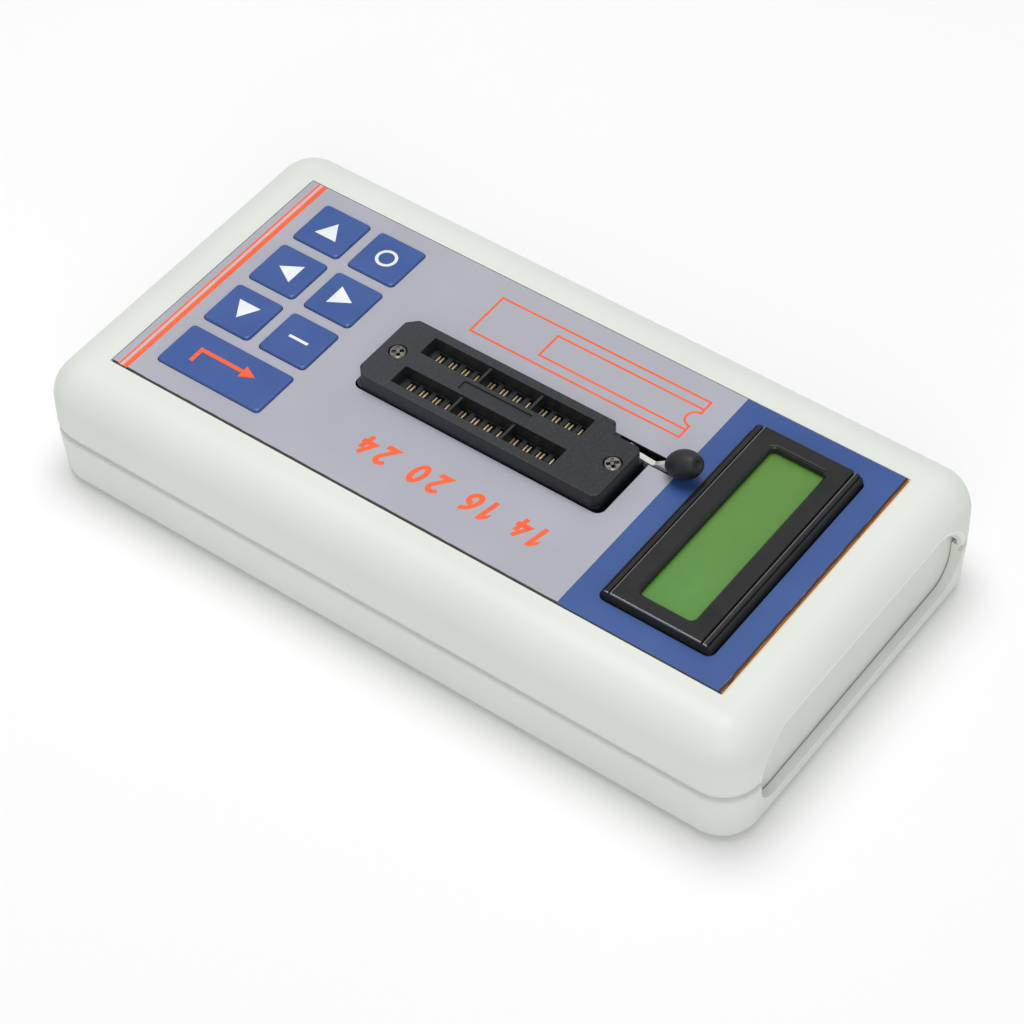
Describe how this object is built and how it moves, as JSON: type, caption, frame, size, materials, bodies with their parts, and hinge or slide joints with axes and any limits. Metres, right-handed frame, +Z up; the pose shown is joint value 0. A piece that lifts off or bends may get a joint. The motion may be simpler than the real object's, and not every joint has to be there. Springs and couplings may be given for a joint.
{
  "type": "component tester",
  "caption": "Handheld tester for integrated circuits: pale rounded case with a lever-worked zero-insertion-force socket, embossed keys, a small green display and a sliding battery door",
  "frame": {"origin": "middle of the underside, on the surface that the tester lies on", "axes": "+Z up through the front film, +Y along the case towards the display end, +X to the right of a user at the key end"},
  "size_m": [0.07, 0.1362, 0.0294],
  "materials": {
    "case_plastic": "fine satin moulding",
    "film_print": "printed film, satin",
    "key_blue": "embossed printed film",
    "socket_black": "satin black moulding",
    "contact_brass": "bright sprung strip",
    "lever_steel": "polished stamped strip",
    "knob_rubber": "matt moulding",
    "screw_steel": "dark nickel plating",
    "bezel_black": "black paint on folded sheet",
    "display_green": "reflective display glass",
    "light_guide": "clear moulding",
    "strip_rubber": "layered contact strip",
    "board_green": "solder mask on laminate",
    "moulding_black": "moulded body",
    "can_metal": "drawn can",
    "spacer_nylon": "turned spacer",
    "cell_jacket": "printed jacket on a drawn can",
    "spring_nickel": "nickel plated strip"
  },
  "bodies": {
    "case": {"upper_shell": "case_plastic", "lower_shell": "case_plastic", "end_panel": "case_plastic", "front_film": "film_print", "socket_base": "socket_black", "socket_cover": "socket_black", "contacts_left": "contact_brass", "contacts_right": "contact_brass", "socket_screws": "screw_steel", "case_screws": "screw_steel", "board_screws": "screw_steel", "lcd_bezel": "bezel_black", "lcd_glass": "display_green", "lcd_light": "light_guide", "lcd_strips": "strip_rubber", "main_board": "board_green", "lcd_board": "board_green", "controller_chip": "moulding_black", "regulator": "moulding_black", "lcd_header": "moulding_black", "switch_housings": "moulding_black", "crystal": "can_metal", "capacitors": "can_metal", "lcd_spacers": "spacer_nylon", "battery_cell_1": "cell_jacket", "battery_cell_2": "cell_jacket", "battery_cell_3": "cell_jacket", "cell_plus_contacts": "spring_nickel", "cell_minus_springs": "spring_nickel"},
    "left_key": {"key_left": "key_blue", "stem_left": "moulding_black"},
    "down_key": {"key_down": "key_blue", "stem_down": "moulding_black"},
    "right_key": {"key_right": "key_blue", "stem_right": "moulding_black"},
    "ring_key": {"key_ring": "key_blue", "stem_ring": "moulding_black"},
    "up_key": {"key_up": "key_blue", "stem_up": "moulding_black"},
    "bar_key": {"key_bar": "key_blue", "stem_bar": "moulding_black"},
    "enter_key": {"key_enter": "key_blue", "stem_enter": "moulding_black"},
    "lever": {"socket_lever": "lever_steel", "lever_knob": "knob_rubber"},
    "slide": {"contact_slide": "socket_black"},
    "door": {"battery_door": "case_plastic"}
  },
  "joints": [
    {"name": "left_key_press", "type": "slide", "parent": "case", "child": "left_key", "axis": [0, 0, -1], "range_m": [0, 0.0003], "stiffness_N_per_m": 2000},
    {"name": "down_key_press", "type": "slide", "parent": "case", "child": "down_key", "axis": [0, 0, -1], "range_m": [0, 0.0003], "stiffness_N_per_m": 2000},
    {"name": "right_key_press", "type": "slide", "parent": "case", "child": "right_key", "axis": [0, 0, -1], "range_m": [0, 0.0003], "stiffness_N_per_m": 2000},
    {"name": "ring_key_press", "type": "slide", "parent": "case", "child": "ring_key", "axis": [0, 0, -1], "range_m": [0, 0.0003], "stiffness_N_per_m": 2000},
    {"name": "up_key_press", "type": "slide", "parent": "case", "child": "up_key", "axis": [0, 0, -1], "range_m": [0, 0.0003], "stiffness_N_per_m": 2000},
    {"name": "bar_key_press", "type": "slide", "parent": "case", "child": "bar_key", "axis": [0, 0, -1], "range_m": [0, 0.0003], "stiffness_N_per_m": 2000},
    {"name": "enter_key_press", "type": "slide", "parent": "case", "child": "enter_key", "axis": [0, 0, -1], "range_m": [0, 0.0003], "stiffness_N_per_m": 2000},
    {"name": "lever_hinge", "type": "hinge", "parent": "case", "child": "lever", "pos_m": [-0.006, 0.01961, 0.0222], "axis": [1, 0, 0], "range_deg": [0, 90]},
    {"name": "slide_shift", "type": "slide", "parent": "case", "child": "slide", "axis": [0, 1, 0], "range_m": [-0.0006, 0]},
    {"name": "door_slide", "type": "slide", "parent": "case", "child": "door", "axis": [0, -1, 0], "range_m": [0, 0.053]}
  ],
  "couplings": [
    {"joint": "lever_hinge", "follows": "slide_shift", "rad_per_m": -2617.9}
  ]
}
